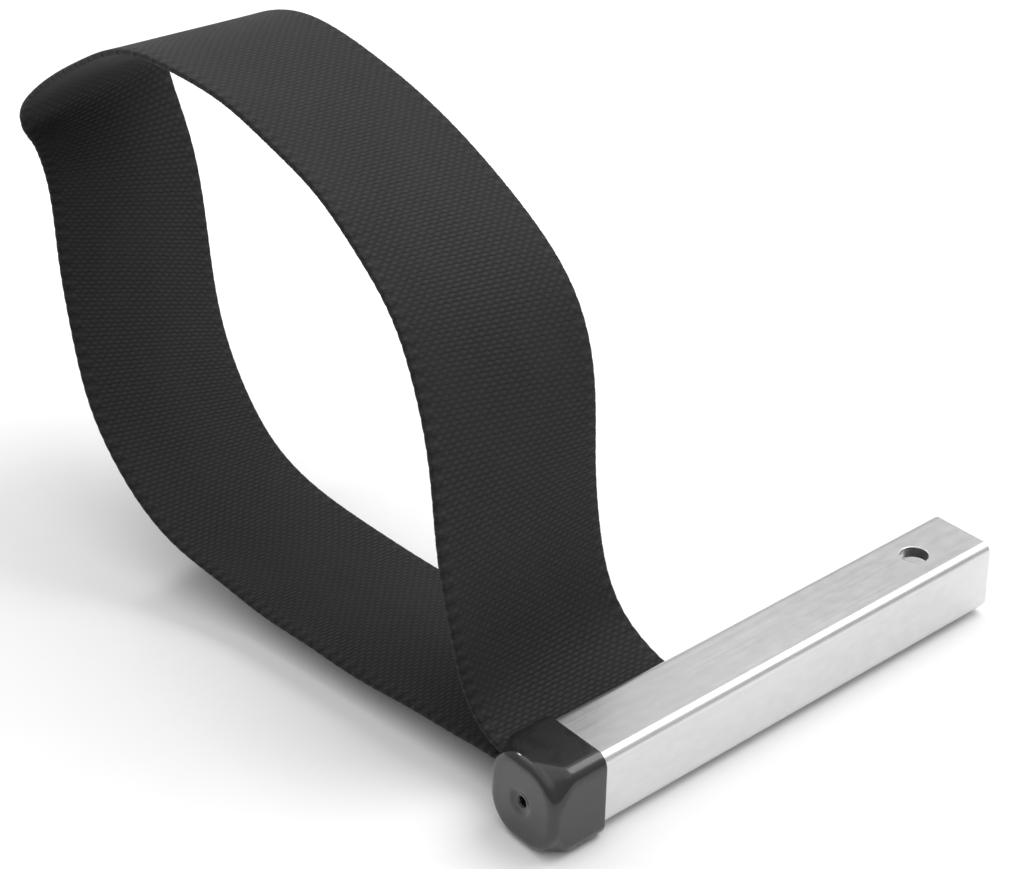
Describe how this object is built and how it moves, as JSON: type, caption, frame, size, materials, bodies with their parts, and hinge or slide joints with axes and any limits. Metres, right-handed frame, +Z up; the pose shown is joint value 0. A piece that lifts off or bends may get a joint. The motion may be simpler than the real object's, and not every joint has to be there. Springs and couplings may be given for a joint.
{
  "type": "oil filter wrench",
  "caption": "Strap wrench for spin-on oil filters: a slotted square tube with a half-inch square drive socket, and a loop of wide webbing held by a pin inside it.",
  "frame": {"origin": "centre of the square drive socket's mouth, at the end of the tube that the ratchet goes into", "axes": "+X out of the drive socket along the tube, +Y from the tube's back face towards the strap, +Z up out of the face with the detent hole"},
  "size_m": [0.1513, 0.2321, 0.1379],
  "materials": {
    "tube_steel": "zinc plated, satin, drawn lengthwise",
    "cap_vinyl": "dip-moulded vinyl, glossy",
    "pin_steel": "ground dowel, lightly oiled",
    "strap_webbing": "woven nylon webbing, matt with a slight sheen",
    "sewing_thread": "bonded polyester thread"
  },
  "bodies": {
    "tube": {"drive_tube": "tube_steel"},
    "strap": {"strap_eye": "strap_webbing", "eye_stitching": "sewing_thread"},
    "loop": {"strap_loop": "strap_webbing"},
    "pin": {"retaining_pin": "pin_steel"},
    "cap": {"end_cap": "cap_vinyl"}
  },
  "joints": [
    {"name": "strap_slide", "type": "slide", "parent": "tube", "child": "strap", "axis": [-1, 0, 0], "range_m": [0, 0.06]},
    {"name": "strap_swing", "type": "hinge", "parent": "strap", "child": "loop", "pos_m": [-0.1117, 0.0132, 0], "axis": [1, 0, 0], "range_deg": [-80, 68]},
    {"name": "pin_pull", "type": "slide", "parent": "strap", "child": "pin", "axis": [-1, 0, 0], "range_m": [0, 0.055]},
    {"name": "cap_pull", "type": "slide", "parent": "pin", "child": "cap", "axis": [-1, 0, 0], "range_m": [0, 0.03]}
  ]
}
